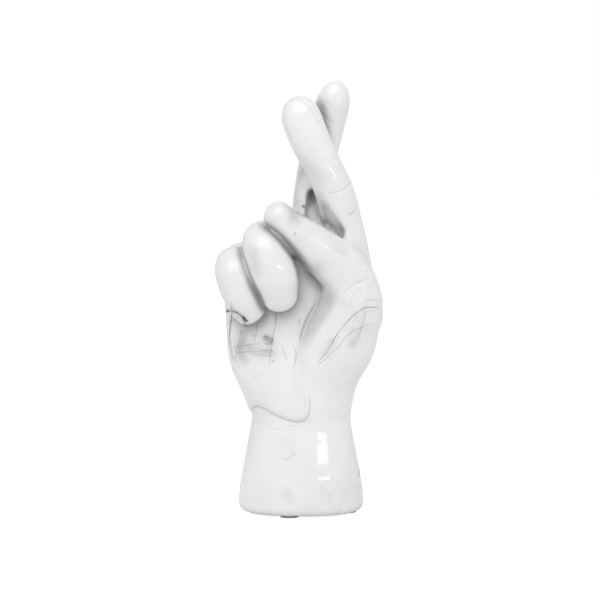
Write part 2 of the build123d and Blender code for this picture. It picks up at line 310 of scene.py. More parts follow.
# Marks are laid only where the skin faces the photograph's viewpoint. A line marks what lies
# within line_margin pixels of its box and far_across half widths of itself. Beside it the
# tone fades over tone_fade millimetres and is gone at tone_reach times that.
facing_least = 0.05
line_margin, far_across = 9, 9.0
tone_reach, tone_fade = 2.8, 1.1
line_ends = 0.1
cloud_margin = 3
crease_half_width = 0.3
speck_edge = 0.5

# Painted shade in hollows: hollows are felt out at two distances from the skin, each with its share of the
# painted darkness
hollow_shade_near, hollow_shade_far = 2.5, 8.0
near_share, far_share = 0.4, 0.6

# Knuckles on the back: centre and radius. Tendons start beside them and run a share of the
# way to a place over the wrist.
knuckles = [((27, 14, 139), 8.0), ((8, 17.6, 144), 8.0), ((-12, 17.6, 141), 7.5), ((-30, 15, 132), 7.0)]
knuckle_melt = 9.0
tendon_foot = np.array((-1.0, 16.4, 78.0))
tendon_start, tendon_share = (0, 2.0, 0), 0.8
tendon_radius, tendon_melt = 4.6, 7.0

# Nails: member, middle of the nail, its half length and half width, lean in degrees
nails = [
    ("index_finger", (-0.8, 9.0, 222.5), 9.5, 7.2, 20.0),
    ("middle_finger", (17.6, 23.0, 227.5), 9.0, 6.8, -14.0),
    ("thumb", (-11.0, -17.5, 169.5), 9.0, 6.0, 52.0),
]
nail_rise, nail_reach, nail_melt = 0.5, 6.0, 0.6

# Pads under the foot
pad_names = ["foot_pad_front", "foot_pad_right", "foot_pad_back", "foot_pad_left"]

# Finishes: the white of the glaze, how dark the painted shade in a crease is, and the relief of
# its ripples, of its creases and of the felt, in metres
glaze_white, painted_crease_shade = 0.84, 0.4
ripple_relief, crease_relief, felt_relief = 0.00012, 0.00035, 0.0003

# The room's light on the hand, and lamps: place, width and height in metres and power in
# watts, with the place that they face
room_light = 0.79
lamps = {
    "key": ((-0.2, -0.95, 1.4), 1.5, 1.2, 8.8),
    "box": ((0.61, -1.1, 0.31), 0.42, 0.08, 0.42),
}
lit_place = (0, 0, 0.12)


# Shapes on grids

def smooth_rows(rows, count):
    """Rows on a smooth curve through the given rows: between two rows each value follows
    the cubic whose slope at a row is that of the parabola through it and both neighbours."""
    step = np.linalg.norm(np.diff(rows[:, :3], axis=0), axis=1)
    station = np.concatenate([[0.0], np.cumsum(step)])
    rate = np.gradient(rows, station, axis=0)
    at = np.linspace(0.0, station[-1], count)
    span = np.clip(np.searchsorted(station, at, side="right") - 1, 0, len(rows) - 2)
    run = (station[span + 1] - station[span])[:, None]
    part = (at - station[span])[:, None] / run
    ease = part * part * (3 - 2 * part)
    leave = part * (1 - part) ** 2 * run
    arrive = part * part * (part - 1) * run
    return (rows[span] + ease * (rows[span + 1] - rows[span])
            + leave * rate[span] + arrive * rate[span + 1])


def rounded_ends(rows, start_round, tip_round):
    """Rows with a quarter ellipse at each end: a point at angle a lies reach times sin a
    beyond the end, and its section is cos a times the end's."""
    angle = np.linspace(0, np.pi / 2, end_steps + 1)[1:-1]
    first, last = rows[0], rows[-1]
    back = (rows[0, :3] - rows[1, :3]) / np.linalg.norm(rows[0, :3] - rows[1, :3])
    ahead = (rows[-1, :3] - rows[-2, :3]) / np.linalg.norm(rows[-1, :3] - rows[-2, :3])

    def cap(end, way, reach):
        """Rows of one rounded end, from its own row outwards."""
        place = end[:3] + np.outer(np.sin(angle) * reach, way)
        return np.hstack([place, np.outer(np.cos(angle), end[3:])])

    start = cap(first, back, start_round)[::-1]
    tip = cap(last, ahead, tip_round)
    poles = first[:3] + back * start_round, last[:3] + ahead * tip_round
    return np.vstack([start, rows, tip]), poles


def oval(around, fullness):
    """Points round an oval: |cos a| and |sin a| to the power 2 / fullness, with their signs."""
    angle = np.linspace(0, 2 * np.pi, around, endpoint=False)
    side = np.sign(np.cos(angle)) * np.abs(np.cos(angle)) ** (2 / fullness)
    face = np.sign(np.sin(angle)) * np.abs(np.sin(angle)) ** (2 / fullness)
    return side, face


def limb(rows, across, start_round, tip_round, fullness, count=90, around=64):
    """A limb as an oval carried along a path. At each row the tangent is the way from the
    row before to the row after, the width runs along the given direction made square to
    the tangent, and the depth is square to both."""
    rows, poles = rounded_ends(smooth_rows(rows, count), start_round, tip_round)
    tangent = np.gradient(rows[:, :3], axis=0)
    tangent /= np.linalg.norm(tangent, axis=1, keepdims=True)
    wide = np.array(across, float) - (tangent @ np.array(across, float))[:, None] * tangent
    wide /= np.linalg.norm(wide, axis=1, keepdims=True)
    deep = np.cross(tangent, wide)
    side, face = oval(around, fullness)
    grid = (rows[:, None, :3]
            + rows[:, None, 3:4] * side[None, :, None] * wide[:, None]
            + rows[:, None, 4:5] * face[None, :, None] * deep[:, None])
    return closed_tube(grid, poles)


def closed_tube(grid, poles):
    """Vertices and triangles of a grid of rings, closed with a fan to a pole at each end."""
    rings, around = grid.shape[:2]
    points = np.vstack([grid.reshape(-1, 3), poles[0], poles[1]])
    ring = np.arange(rings - 1)[:, None] * around
    here = np.arange(around)
    after = (here + 1) % around
    a, b, c, d = ring + here, ring + after, ring + around + after, ring + around + here
    sides = np.stack([a, b, c, a, c, d], -1).reshape(-1, 3)
    start = np.stack([np.full(around, rings * around), after, here], -1)
    last = (rings - 1) * around
    end = np.stack([np.full(around, rings * around + 1), last + here, last + after], -1)
    return points, np.vstack([sides, start, end])


def body_form():
    """Foot, wrist and palm: level ovals between the left, right, front and back of each
    row, rounded at the foot and at the top."""
    rows = np.column_stack([
        (body_rows[:, 1] + body_rows[:, 2]) / 2,
        (body_rows[:, 3] + body_rows[:, 4]) / 2,
        body_rows[:, 0],
        (body_rows[:, 2] - body_rows[:, 1]) / 2,
        (body_rows[:, 4] - body_rows[:, 3]) / 2,
    ])
    rows = smooth_rows(rows, body_row_count)
    angle = np.linspace(0, np.pi / 2, foot_steps)[::-1]
    foot = np.repeat(rows[:1], foot_steps, axis=0)
    foot[:, 2] = rows[0, 2] + foot_round * (1 - np.sin(angle))
    foot[:, 3:] -= foot_round * (1 - np.cos(angle))[:, None]
    rows = rows[rows[:, 2] > foot[-1, 2] + foot_gap]
    rows, poles = rounded_ends(np.vstack([foot, rows]), 0.0, body_top_round)
    # The foot ends flat, so the rows that would round its underside go
    rows = rows[end_steps - 1:]
    side, face = oval(body_around, body_fullness)
    grid = np.stack([
        rows[:, :1] + rows[:, 3:4] * side,
        rows[:, 1:2] + rows[:, 4:5] * face,
        np.repeat(rows[:, 2:3], body_around, axis=1),
    ], -1)
    return closed_tube(grid, poles)


# The distance field

low = np.array(cad_low) / mm - field_margin
high = np.array(cad_high) / mm + field_margin
first_cell = np.floor(low / voxel).astype(int)
cells = np.ceil(high / voxel).astype(int) - first_cell


def distance(form):
    """Signed distance to a closed form on the cells, cut off at the field's reach."""
    points, triangles = form
    transform = openvdb.createLinearTransform(voxelSize=voxel)
    grid = openvdb.FloatGrid.createLevelSetFromPolygons(
        points.astype(np.float32), triangles=triangles.astype(np.uint32),
        transform=transform, halfWidth=field_reach / voxel)
    field = np.full(tuple(cells), field_reach, np.float32)
    grid.copyToArray(field, ijk=tuple(int(c) for c in first_cell))
    return field


def melt(a, b, radius):
    """Smooth least of two distances: the least, less a quarter of the radius times the
    square of how near they are to each other, as a share of the radius."""
    near = np.maximum(radius - np.abs(a - b), 0) / radius
    return np.minimum(a, b) - near * near * radius / 4


def sample(field, points):
    """The field's value at points, linear between the eight cells around each."""
    place = points / voxel - first_cell
    cell = np.clip(np.floor(place).astype(int), 0, cells - 2)
    part = place - cell
    value = np.zeros(len(points))
    for corner in np.ndindex(2, 2, 2):
        weight = np.prod(np.where(corner, part, 1 - part), axis=1)
        value += weight * field[tuple((cell + corner).T)]
    return value


def slope(field, points, reach):
    """Unit way in which the field grows fastest, from a reach before and after on each axis."""
    way = np.stack([
        sample(field, points + step) - sample(field, points - step)
        for step in np.eye(3) * reach
    ], -1)
    return way / np.maximum(np.linalg.norm(way, axis=1, keepdims=True), 1e-9)


# The photograph's view

def in_picture(points):
    """Column and row in the photograph of points: how far they lie beside and above the
    line of sight, divided by how far they lie along it."""
    fall = eye_up - aim_up
    ahead = np.array([0, eye_out, -fall]) / np.hypot(eye_out, fall)
    upward = np.array([0, fall, eye_out]) / np.hypot(eye_out, fall)
    ray = points - eye_place
    scale = eye_out / pixel / (ray @ ahead)
    middle = picture_size / 2
    return np.stack([middle + scale * ray[:, 0], middle - scale * (ray @ upward)], -1)


def smooth_line(line, steps=3):
    """A broken line in the picture, made smooth with a few places for each of its own."""
    line = np.array(line, float)
    rows = np.column_stack([line, np.zeros(len(line))])
    return smooth_rows(rows, steps * len(line))[:, :2] if len(line) > 2 else line


def beside(places, line):
    """How far places in the picture lie from a broken line, with a sign for the side, and
    how far along it, as a share. On each stretch the nearest point is the foot of the
    perpendicular, kept between the ends of the stretch."""
    start, step = line[:-1], np.diff(line, axis=0)
    run = np.linalg.norm(step, axis=1)
    offset = places[:, None] - start
    share = np.clip(np.sum(offset * step, -1) / run ** 2, 0, 1)
    apart = offset - share[..., None] * step
    far = np.linalg.norm(apart, axis=-1)
    nearest = np.argmin(far, axis=1)
    row = np.arange(len(places))
    turn = step[nearest, 0] * apart[row, nearest, 1] - step[nearest, 1] * apart[row, nearest, 0]
    length = np.concatenate([[0.0], np.cumsum(run)])
    along = (length[nearest] + share[row, nearest] * run[nearest]) / length[-1]
    return far[row, nearest] * np.where(turn < 0, -1.0, 1.0), along


def inside(places, outline):
    """True where a level ray from the place crosses the closed outline an odd number of times."""
    a, b = outline, np.roll(outline, -1, axis=0)
    column, row = places[:, :1], places[:, 1:]
    spans = (a[:, 1] > row) != (b[:, 1] > row)
    rise = np.where(a[:, 1] == b[:, 1], 1, b[:, 1] - a[:, 1])
    crossing = a[:, 0] + (row - a[:, 1]) / rise * (b[:, 0] - a[:, 0])
    return np.sum(spans & (column < crossing), axis=1) % 2 == 1


def near_line(places, line, margin):
    """Which places lie in the line's box with a margin around it."""
    return np.all((places > line.min(0) - margin) & (places < line.max(0) + margin), axis=1)


def soft_step(value):
    """0 below 0, 1 above 1, and 3 v v - 2 v v v between."""
    value = np.clip(value, 0, 1)
    return value * value * (3 - 2 * value)


def soft_ends(along, share=0.14):
    """1 along a line, falling to 0 over a share of it at both ends."""
    return soft_step(along / share) * soft_step((1 - along) / share)


# Marks pressed into the clay

def raise_patch(field, outline, rise, edge, reach):
    """Lifts the skin within an outline in the picture by a soft step over its edge."""
    outline = np.array(outline, float)
    index = np.nonzero(np.abs(field) < patch_band)
    places = (np.stack(index, -1) + first_cell) * voxel
    at = in_picture(places)
    close = near_line(at, outline, patch_margin) & (places[:, 1] < reach)
    index, at = tuple(part[close] for part in index), at[close]
    away, along = beside(at, np.vstack([outline, outline[:1]]))
    away = np.abs(away) * np.where(inside(at, outline), 1, -1) * pixel
    field[index] -= rise * soft_step(away / edge + 0.5)


def press_creases(field):
    """Presses the creases in: each takes its depth times the bell exp(-(distance / width)
    squared) from the clay."""
    index = np.nonzero(np.abs(field) < crease_band)
    places = (np.stack(index, -1) + first_cell) * voxel
    at = in_picture(places)
    change = np.zeros(len(places))
    for depth, width, reach, line in crease_lines_px:
        line = smooth_line(line)
        close = near_line(at, line, crease_margin) & (places[:, 1] < reach)
        away, along = beside(at[close], line)
        change[close] += depth * np.exp(-(away * pixel / width) ** 2) * soft_ends(along)
    field[index] += change


def cell_grids():
    """The cells' places, one thin array for each axis."""
    shapes = (-1, 1, 1), (1, -1, 1), (1, 1, -1)
    return [((np.arange(cells[k]) + first_cell[k]) * voxel).reshape(shapes[k]) for k in range(3)]


def ball(centre, radius):
    """Distance to a ball."""
    x, y, z = cell_grids()
    cx, cy, cz = centre
    return np.sqrt((x - cx) ** 2 + (y - cy) ** 2 + (z - cz) ** 2) - radius


def cord(start, end, radius):
    """Distance to a straight cord with round ends: that to the nearest point of its axis."""
    x, y, z = cell_grids()
    start, step = np.array(start, float), np.array(end, float) - np.array(start, float)
    share = np.clip(beyond(start, step) / (step @ step), 0, 1)
    return np.sqrt((x - start[0] - share * step[0]) ** 2 + (y - start[1] - share * step[1]) ** 2
                   + (z - start[2] - share * step[2]) ** 2) - radius


def model_back(field):
    """Knuckles and tendons on the back of the hand, melted into it."""
    for centre, radius in knuckles:
        field = melt(field, ball(centre, radius), knuckle_melt)
        start = np.array(centre) + tendon_start
        heel = np.array(centre) + (tendon_foot - centre) * tendon_share
        field = melt(field, cord(start, heel, tendon_radius), tendon_melt)
    return field


def nail(own, centre, half_length, half_width, lean):
    """A nail: the finger's own form, grown by the nail's rise, within an oval round an
    axis that points to the back, and behind a plane."""
    x, y, z = cell_grids()
    lean = np.radians(lean)
    across = (x - centre[0]) * np.cos(lean) + (z - centre[2]) * np.sin(lean)
    up = (z - centre[2]) * np.cos(lean) - (x - centre[0]) * np.sin(lean)
    rim = (np.sqrt((across / half_width) ** 2 + (up / half_length) ** 2) - 1) * half_width
    behind = centre[1] - nail_reach - y
    return np.maximum(np.maximum(own - nail_rise, rim), behind)


def beyond(place, way):
    """How far the cells lie beyond a plane, times the length of the way that it faces."""
    x, y, z = cell_grids()
    return (x - place[0]) * way[0] + (y - place[1]) * way[1] + (z - place[2]) * way[2]


def flatten(field, place, way, ends, softness):
    """Cuts a flat into a member, as far as its ends, with a softened edge: the smooth
    greatest of the field and the distance beyond the flat."""
    cut = beyond(place, way)
    for end, back in ends:
        cut = np.minimum(cut, beyond(end, back))
    return -melt(-field, -cut, softness)


def softened(radius, places):
    """A melting radius that grows near some places, by a bell exp(-(distance / reach)
    squared) round each."""
    x, y, z = cell_grids()
    for (cx, cy, cz), reach, more in places:
        radius = radius + more * np.exp(-((x - cx) ** 2 + (y - cy) ** 2 + (z - cz) ** 2) / reach ** 2)
    return radius


def build_fields():
    """Every member's own field, and the one in which they have melted together."""
    own = {"body": distance(body_form())}
    for name, form in members.items():
        own[name] = distance(limb(*form))
    for name, *flat in flats:
        own[name] = flatten(own[name], *flat)
    own["thumb"] = melt(own["thumb"], own.pop("thenar"), thenar_melt)
    for name, centre, radius, softness in fillers:
        own[name] = melt(own[name], ball(centre, radius), softness)
    raise_patch(own["body"], palm_edge_px, palm_rise, palm_edge, palm_reach)
    height = cell_grids()[2]
    drop = web_melt_drop * soft_step((height - web_melt_start) / web_melt_run)
    whole = melt(model_back(own["body"]), own["thumb"], wrist_melt - drop)
    for name, radius in finger_melts.items():
        whole = melt(whole, own[name], radius)
    whole = melt(whole, own["index_finger"], softened(index_melt, soft_places))
    for name, centre, half_length, half_width, lean in nails:
        whole = melt(whole, nail(own[name], centre, half_length, half_width, lean), nail_melt)
    press_creases(whole)
    return own, whole


# Skin and its parts

def skin(field):
    """Vertices, their normals and triangles where the field is zero. Each vertex is moved
    three times along the slope by the distance that is left."""
    grid = openvdb.FloatGrid()
    grid.background = field_reach
    grid.transform = openvdb.createLinearTransform(voxelSize=voxel)
    grid.copyFromArray(field, ijk=tuple(int(c) for c in first_cell))
    points, quads = grid.convertToQuads(0.0)
    points = points.astype(float)
    quads = quads.astype(int)
    for _ in range(3):
        points -= slope(field, points, voxel) * sample(field, points)[:, None]
    triangles = np.vstack([quads[:, [0, 1, 2]], quads[:, [0, 2, 3]]])
    corner = points[triangles]
    flat = np.cross(corner[:, 1] - corner[:, 0], corner[:, 2] - corner[:, 0])
    out = slope(field, points, voxel)
    if np.sum(flat * out[triangles[:, 0]]) < 0:
        triangles = triangles[:, ::-1]
    return points, triangles


def part_along(points, triangles, value, carried):
    """Splits every triangle that the zero of value crosses. An edge is cut where value,
    taken as linear along it, is zero, but not near its ends, and what each vertex carries
    is mixed alike."""
    value = np.where(np.abs(value) < least_value, least_value, value)
    up = value[triangles] > 0
    split = up.any(1) & ~up.all(1)
    whole, cut, up = triangles[~split], triangles[split], up[split]
    odd_is_up = up.sum(1) == 1
    odd = np.argmax(up == odd_is_up[:, None], axis=1)
    row = np.arange(len(cut))
    a, b, c = (cut[row, (odd + k) % 3] for k in range(3))
    edges = np.sort(np.stack([np.stack([a, b], -1), np.stack([a, c], -1)]).reshape(-1, 2), axis=1)
    kinds, index = np.unique(edges, axis=0, return_inverse=True)
    i, j = kinds.T
    share = np.clip(value[i] / (value[i] - value[j]), cut_margin, 1 - cut_margin)[:, None]
    fresh = points[i] * (1 - share) + points[j] * share
    mix = share[:, 0]
    carried = {name: np.concatenate([held, (1 - mix) * held[i] + mix * held[j]])
               for name, held in carried.items()}
    index = index.reshape(2, -1) + len(points)
    ab, ac = index
    pieces = [np.stack([a, ab, ac], -1), np.stack([ab, b, c], -1), np.stack([ab, c, ac], -1)]
    return np.vstack([points, fresh]), np.vstack([whole] + pieces), carried


def drawn_lines(points, facing, lines):
    """For each point, how many half widths it lies across its nearest line, and the tone
    there, which fades at the line's ends and two to three millimetres beside it."""
    at = in_picture(points)
    across, nearest = np.full(len(points), far_across), np.full(len(points), far_across)
    tone = np.zeros(len(points))
    for half_width, darkness, line in lines:
        line = smooth_line(line)
        close = np.nonzero(near_line(at, line, line_margin) & (facing > facing_least))[0]
        away, along = beside(at[close], line)
        away = away * pixel / half_width
        won = np.abs(away) < nearest[close]
        close, away, along = close[won], away[won], along[won]
        nearest[close] = np.abs(away)
        across[close] = away
        beside_it = soft_step(tone_reach - np.abs(away) * half_width / tone_fade)
        tone[close] = darkness * soft_ends(along, line_ends) * beside_it
    return across, tone


def drawn_clouds_and_shade(points, facing, lines):
    """Darkness of the clouds and of the painted shade among them: each is a bell round its line, and the
    darkest one shows.
    """
    at = in_picture(points)
    cloud_and_shade = np.zeros(len(points))
    for radius, darkness, line in lines:
        line = smooth_line(line)
        margin = cloud_margin * radius / pixel
        close = np.nonzero(near_line(at, line, margin) & (facing > facing_least))[0]
        away, along = beside(at[close], line)
        cloud_and_shade[close] = np.maximum(cloud_and_shade[close], darkness * np.exp(-(away * pixel / radius) ** 2))
    return cloud_and_shade


def specks(points, facing):
    """Darkness of the specks: full within the radius, gone half a millimetre outside it."""
    at = in_picture(points)
    dark = np.zeros(len(points))
    for radius, darkness, place in specks_px:
        away = np.linalg.norm(at - place, axis=1) * pixel
        spot = darkness * soft_step((radius + speck_edge - away) / speck_edge)
        dark = np.maximum(dark, spot * (facing > facing_least))
    return dark


def skin_marks(field, points, normals):
    """All that the glaze needs to know at each point of the skin. Drawn marks lie where the
    photograph's viewpoint puts them, and stay on the skin from then on."""
    ray = points - eye_place
    facing = -np.sum(ray * normals, axis=1) / np.linalg.norm(ray, axis=1)
    marks = {"facing": facing}
    marks["vein_across"], marks["vein_tone"] = drawn_lines(points, facing, vein_lines_px)
    marks["fine_across"], marks["fine_tone"] = drawn_lines(points, facing, fine_lines_px)
    # The creases' tone sets both their painted shade and the depth of their grooves
    creases = [(crease_half_width, depth, line) for depth, width, reach, line in crease_lines_px]
    marks["crease_across"], marks["crease_shade_and_depth"] = drawn_lines(points, facing, creases)
    # Marble clouds, and painted shade in the cavity and between the fingers
    marks["cloud_and_shade"] = drawn_clouds_and_shade(points, facing, cloud_and_shade_lines_px)
    marks["speck"] = specks(points, facing)
    # Painted shade in hollows: darker where the field comes near again a little way out from the skin
    near = sample(field, points + normals * hollow_shade_near) / hollow_shade_near
    far = sample(field, points + normals * hollow_shade_far) / hollow_shade_far
    marks["painted_hollow_shade"] = np.clip(1 - near, 0, 1) * near_share + np.clip(1 - far, 0, 1) * far_share
    return marks


def walled(points, normals, triangles, thickness):
    """A patch of skin with a wall behind it: the same patch turned over and set back along
    the normals, and a band of triangles between the two rims. The last value tells which
    points of the whole skin the patch uses."""
    used, index = np.unique(triangles, return_inverse=True)
    triangles = index.reshape(-1, 3)
    points, normals = points[used], normals[used]
    count = len(points)
    edges = np.vstack([triangles[:, [0, 1]], triangles[:, [1, 2]], triangles[:, [2, 0]]])
    key = edges[:, 0] * count + edges[:, 1]
    back = edges[:, 1] * count + edges[:, 0]
    a, b = edges[~np.isin(key, back)].T
    band = np.vstack([np.stack([b, a, a + count], -1), np.stack([b, a + count, b + count], -1)])
    inner = points - normals * thickness
    return (np.vstack([points, inner]), np.vstack([normals, -normals]),
            np.vstack([triangles, triangles[:, ::-1] + count, band]), used)


def add_mesh(name, points, triangles, normals=None):
    """A mesh object from arrays in millimetres of the model."""
    mesh = bpy.data.meshes.new(name)
    mesh.vertices.add(len(points))
    mesh.vertices.foreach_set("co", (points * mm).astype(np.float32).ravel())
    mesh.loops.add(triangles.size)
    mesh.loops.foreach_set("vertex_index", triangles.astype(np.int32).ravel())
    mesh.polygons.add(len(triangles))
    mesh.polygons.foreach_set("loop_start", np.arange(0, triangles.size, 3, dtype=np.int32))
    mesh.polygons.foreach_set("loop_total", np.full(len(triangles), 3, np.int32))
    mesh.update(calc_edges=True)
    mesh.validate()
    mesh.shade_smooth()
    if normals is not None:
        mesh.normals_split_custom_set_from_vertices(normals.astype(np.float32))
    piece = bpy.data.objects.new(name, mesh)
    bpy.context.scene.collection.objects.link(piece)
    return piece


def past_bore(points):
    """How far points lie outside the pour hole. Height above the foot's rounded edge counts
    nine times, so that only the foot's underside is cut."""
    above = np.maximum(points[:, 2] - foot_round, 0) * 9
    return np.hypot(points[:, 0], points[:, 1]) - pour_bore / 2 + above


def build_hand(glaze):
    """The skin of the melted field, parted among the members and given walls."""
    own, whole = build_fields()
    points, triangles = skin(whole)
    names = [name for name in own if name != "body"]
    carried = {name: sample(own[name], points) for name in own}
    carried["seam"] = seam_height - seam_fall * points[:, 0] - points[:, 2]
    for name in names:
        others = np.min([carried[other] for other in own if other != name], axis=0)
        points, triangles, carried = part_along(points, triangles, carried[name] - others, carried)
    points, triangles, carried = part_along(points, triangles, carried["seam"], carried)
    points, triangles, carried = part_along(points, triangles, past_bore(points), carried)
    triangles = triangles[past_bore(points)[triangles].mean(1) > 0]
    normals = slope(whole, points, 1.2 * voxel)
    marks = skin_marks(whole, points, normals)
    middle = {name: values[triangles].mean(1) for name, values in carried.items()}
    owner = np.argmin([middle[name] for name in own], axis=0)
    for number, name in enumerate(own):
        mine = owner == number
        if name == "body":
            below = middle["seam"] > 0
            patches = {"wrist_base": mine & below, "palm": mine & ~below}
        else:
            patches = {name: mine}
        for node, chosen in patches.items():
            places, outward, faces, used = walled(points, normals, triangles[chosen], wall)
            piece = add_mesh(f"glazed_{node}", places, faces, outward)
            for label, values in marks.items():
                outer = values[used]
                kept = piece.data.attributes.new(label, "FLOAT", "POINT")
                both = np.concatenate([outer, np.zeros(len(outer))])
                kept.data.foreach_set("value", both.astype(np.float32))
            piece.data.materials.append(glaze)
            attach(piece, "root")
            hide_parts(node)


# Finishes

def new_material(name):
    """An empty material with its output, nodes and links."""
    material = bpy.data.materials.new(name)
    material.use_nodes = True
    nodes, links = material.node_tree.nodes, material.node_tree.links
    nodes.clear()
    return material, nodes, links, nodes.new("ShaderNodeOutputMaterial")


def grey(nodes, links, value, socket):
    """Links a value to a colour socket as a neutral grey."""
    colour = nodes.new("ShaderNodeCombineColor")
    for part in colour.inputs:
        links.new(value, part)
    links.new(colour.outputs[0], socket)


def relief(nodes, links, height):
    """A normal bent by a height in metres."""
    bump = nodes.new("ShaderNodeBump")
    bump.inputs["Distance"].default_value = 1.0
    links.new(height, bump.inputs["Height"])
    return bump.outputs[0]


def wire(links, value, socket):
    """Sets a socket to a number, or links an output to it."""
    if hasattr(value, "links"):
        links.new(value, socket)
    else:
        socket.default_value = value


def calc(nodes, links, operation, *values, clamp=False):
    """A maths node with its values set or linked."""
    node = nodes.new("ShaderNodeMath")
    node.operation = operation
    node.use_clamp = clamp
    for number, value in enumerate(values):
        wire(links, value, node.inputs[number])
    return node.outputs[0]


def ramp(nodes, links, value, from_low, from_high, to_low=0.0, to_high=1.0):
    """Maps a range of values to another with soft ends."""
    node = nodes.new("ShaderNodeMapRange")
    node.interpolation_type = "SMOOTHSTEP"
    wire(links, value, node.inputs["Value"])
    bounds = {"From Min": from_low, "From Max": from_high, "To Min": to_low, "To Max": to_high}
    for name, bound in bounds.items():
        wire(links, bound, node.inputs[name])
    return node.outputs[0]


def noise(nodes, links, place, scale, detail=2.0, distortion=0.0):
    """A cloudy noise between 0 and 1."""
    node = nodes.new("ShaderNodeTexNoise")
    links.new(place, node.inputs["Vector"])
    node.inputs["Scale"].default_value = scale
    node.inputs["Detail"].default_value = detail
    node.inputs["Distortion"].default_value = distortion
    return node.outputs[0]


def mark(nodes, name):
    """A mark that the skin carries."""
    node = nodes.new("ShaderNodeAttribute")
    node.attribute_name = name
    return node.outputs["Fac"]


def new_group(name, inputs, outputs):
    """A shader group whose sockets are floats, apart from Place."""
    group = bpy.data.node_groups.new(name, "ShaderNodeTree")
    for socket in inputs:
        kind = "NodeSocketVector" if socket == "Place" else "NodeSocketFloat"
        group.interface.new_socket(socket, in_out="INPUT", socket_type=kind)
    for socket in outputs:
        group.interface.new_socket(socket, in_out="OUTPUT", socket_type="NodeSocketFloat")
    return group, group.nodes.new("NodeGroupInput"), group.nodes.new("NodeGroupOutput")


def drawn_vein_group():
    """Darkness of a drawn vein: a line whose edge wanders and whose tone breaks up, with a
    faint halo about three times as wide."""
    group, source, result = new_group("drawn_vein", ["Place", "Across", "Tone"], ["Darkness"])
    nodes, links = group.nodes, group.links
    rough = noise(nodes, links, source.outputs["Place"], 200.0, 4.0)
    wander = calc(nodes, links, "MULTIPLY_ADD", rough, 4.0, -2.0)
    width = calc(nodes, links, "ABSOLUTE", calc(nodes, links, "ADD", source.outputs["Across"], wander))
    core = ramp(nodes, links, width, 0.35, 1.25, 1.0, 0.0)
    halo = ramp(nodes, links, width, 0.5, 4.0, 0.22, 0.0)
    patches = noise(nodes, links, source.outputs["Place"], 150.0, 2.0)
    breaks = ramp(nodes, links, patches, 0.34, 0.62, 0.35, 1.15)
    line = calc(nodes, links, "ADD", calc(nodes, links, "MULTIPLY", core, breaks), halo)
    dark = calc(nodes, links, "MULTIPLY", line, source.outputs["Tone"], clamp=True)
    links.new(dark, result.inputs["Darkness"])
    return group


def wild_vein_group():
    """Darkness of thin veins where a drawn-out noise passes its middle, kept to patches."""
    group, source, result = new_group("wild_vein", ["Place", "Amount"], ["Darkness"])
    nodes, links = group.nodes, group.links
    field = noise(nodes, links, source.outputs["Place"], 15.0, 4.0, 1.3)
    off = calc(nodes, links, "ABSOLUTE", calc(nodes, links, "SUBTRACT", field, 0.5))
    line = ramp(nodes, links, off, 0.0, 0.011, 1.0, 0.0)
    halo = ramp(nodes, links, off, 0.0, 0.05, 0.28, 0.0)
    patch = ramp(nodes, links, noise(nodes, links, source.outputs["Place"], 22.0, 1.0), 0.47, 0.62)
    dark = calc(nodes, links, "MULTIPLY", calc(nodes, links, "ADD", line, halo), patch)
    dark = calc(nodes, links, "MULTIPLY", dark, source.outputs["Amount"])
    links.new(dark, result.inputs["Darkness"])
    return group


def use_group(nodes, links, group, **values):
    """Places a group with its inputs set or linked, and gives its output."""
    node = nodes.new("ShaderNodeGroup")
    node.node_tree = group
    for name, value in values.items():
        wire(links, value, node.inputs[name])
    return node.outputs[0]


